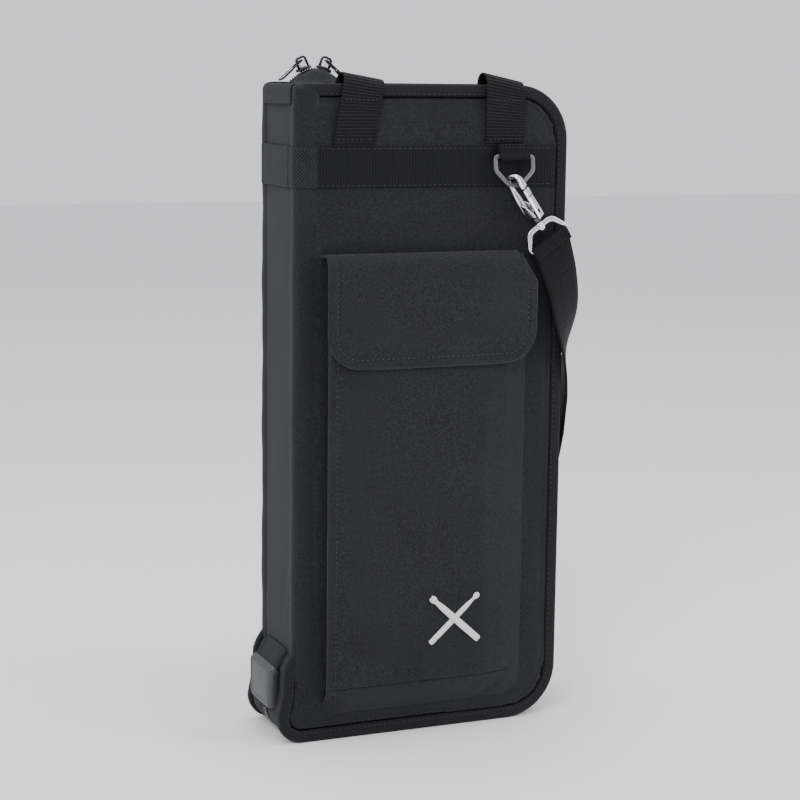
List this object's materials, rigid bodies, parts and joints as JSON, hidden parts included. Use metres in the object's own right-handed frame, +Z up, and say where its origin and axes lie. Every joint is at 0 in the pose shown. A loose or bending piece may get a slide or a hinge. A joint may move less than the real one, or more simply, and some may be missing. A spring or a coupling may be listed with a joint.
{
  "type": "drum stick bag",
  "caption": "Book-style drum stick bag of dark fabric with padded covers, side zip, flapped front pocket, top handle and clip-on shoulder strap.",
  "frame": {"origin": "on the floor plane under the middle of the bag's overall box", "axes": "+Z up the bag's height, +X from the spine to the zip side, -Y out of the front with the flapped pocket"},
  "size_m": [0.2542, 0.114, 0.5198],
  "materials": {
    "shell_fabric": "heavy woven polyester, speckled dark grey",
    "pocket_fabric": "the same cloth, softly padded",
    "binding_fabric": "folded cloth edge with a stitch line",
    "black_webbing": "ribbed or herringbone polypropylene webbing",
    "lining_fabric": "plain thin lining cloth",
    "grey_leatherette": "smooth coated cloth with an embossed border",
    "zip_plastic": "coil teeth on woven tape",
    "dark_chrome": "dark plated, half gloss",
    "bright_chrome": "bright nickel plate",
    "white_thread": "satin stitch embroidery",
    "black_plastic": "moulded, satin",
    "hook_and_loop": "hook and loop pile"
  },
  "bodies": {
    "spine": {"spine_panel": "shell_fabric", "spine_band": "black_webbing", "zip_end_tab": "black_webbing", "zip_garage_tab": "grey_leatherette"},
    "front_cover": {"front_panel": "shell_fabric", "front_binding": "binding_fabric", "front_gusset": "shell_fabric", "front_zip_chain": "zip_plastic", "front_lining": "lining_fabric", "front_band": "black_webbing", "front_stick_pocket": "lining_fabric", "front_ring_loop": "black_webbing", "pocket_body": "pocket_fabric", "loop_patch": "hook_and_loop", "emblem": "white_thread", "strap_front_run": "black_webbing"},
    "back_cover": {"back_panel": "shell_fabric", "back_binding": "binding_fabric", "back_gusset": "shell_fabric", "back_zip_chain": "zip_plastic", "back_lining": "lining_fabric", "back_band": "black_webbing", "back_stick_pocket": "lining_fabric", "back_ring_loop": "black_webbing", "strap_rear_run": "black_webbing"},
    "flap": {"pocket_flap": "pocket_fabric", "flap_binding": "binding_fabric", "hook_patch": "hook_and_loop"},
    "handle": {"front_handle": "black_webbing"},
    "front_ring": {"front_d_ring": "dark_chrome", "front_hook_body": "bright_chrome"},
    "front_gate": {"front_hook_gate": "bright_chrome"},
    "front_swivel": {"front_strap_ring": "bright_chrome"},
    "back_ring": {"back_d_ring": "dark_chrome", "back_hook_body": "bright_chrome"},
    "back_gate": {"back_hook_gate": "bright_chrome"},
    "back_swivel": {"back_strap_ring": "bright_chrome"},
    "slider_left": {"zip_slider_left": "dark_chrome"},
    "slider_right": {"zip_slider_right": "dark_chrome"},
    "pull_left": {"slider_pull_left": "dark_chrome"},
    "pull_right": {"slider_pull_right": "dark_chrome"},
    "adjuster": {"strap_adjuster": "black_plastic"}
  },
  "joints": [
    {"name": "front_fold", "type": "hinge", "parent": "spine", "child": "front_cover", "pos_m": [-0.111, -0.0375, 0.25], "axis": [0, 0, -1], "range_deg": [0, 90]},
    {"name": "back_fold", "type": "hinge", "parent": "spine", "child": "back_cover", "pos_m": [-0.111, 0.0375, 0.25], "axis": [0, 0, 1], "range_deg": [0, 90]},
    {"name": "flap_lift", "type": "hinge", "parent": "front_cover", "child": "flap", "pos_m": [0, -0.0384, 0.375], "axis": [-1, 0, 0], "range_deg": [0, 70]},
    {"name": "handle_lift", "type": "hinge", "parent": "front_cover", "child": "handle", "pos_m": [0, -0.0409, 0.4556], "axis": [1, 0, 0], "range_deg": [0, 90]},
    {"name": "front_ring_swing", "type": "hinge", "parent": "front_cover", "child": "front_ring", "pos_m": [0.062, -0.0446, 0.4465], "axis": [1, 0, 0], "range_deg": [-25, 0]},
    {"name": "front_gate_press", "type": "hinge", "parent": "front_ring", "child": "front_gate", "pos_m": [0.08173, -0.05221, 0.40217], "axis": [-0.7031, -0.5299, -0.4742], "range_deg": [0, 14], "stiffness_Nm_per_rad": 0.02},
    {"name": "front_swivel_turn", "type": "hinge", "parent": "front_ring", "child": "front_swivel", "pos_m": [0.08212, -0.0478, 0.39665], "axis": [-0.5592, 0, 0.829], "range_deg": [-20, 20]},
    {"name": "back_ring_swing", "type": "hinge", "parent": "back_cover", "child": "back_ring", "pos_m": [0.062, 0.0446, 0.4465], "axis": [-1, 0, 0], "range_deg": [-25, 0]},
    {"name": "back_gate_press", "type": "hinge", "parent": "back_ring", "child": "back_gate", "pos_m": [0.06556, 0.053, 0.39571], "axis": [0.9962, 0, 0.0872], "range_deg": [0, 14], "stiffness_Nm_per_rad": 0.02},
    {"name": "back_swivel_turn", "type": "hinge", "parent": "back_ring", "child": "back_swivel", "pos_m": [0.06598, 0.0478, 0.39093], "axis": [-0.0872, 0, 0.9962], "range_deg": [-20, 20]},
    {"name": "slider_left_travel", "type": "slide", "parent": "front_cover", "child": "slider_left", "axis": [0.9278, 0, 0.3731], "range_m": [-0.006, 0.001]},
    {"name": "slider_right_travel", "type": "slide", "parent": "front_cover", "child": "slider_right", "axis": [0.9278, 0, -0.3731], "range_m": [-0.001, 0.006]},
    {"name": "pull_left_flip", "type": "hinge", "parent": "slider_left", "child": "pull_left", "pos_m": [-0.09398, 0, 0.51599], "axis": [0, 1, 0], "range_deg": [0, 120]},
    {"name": "pull_right_flip", "type": "hinge", "parent": "slider_right", "child": "pull_right", "pos_m": [-0.07401, 0, 0.51599], "axis": [0, -1, 0], "range_deg": [0, 120]},
    {"name": "adjuster_travel", "type": "slide", "parent": "back_cover", "child": "adjuster", "axis": [-0.0602, -0.0292, 0.9978], "range_m": [-0.06, 0.06]}
  ]
}
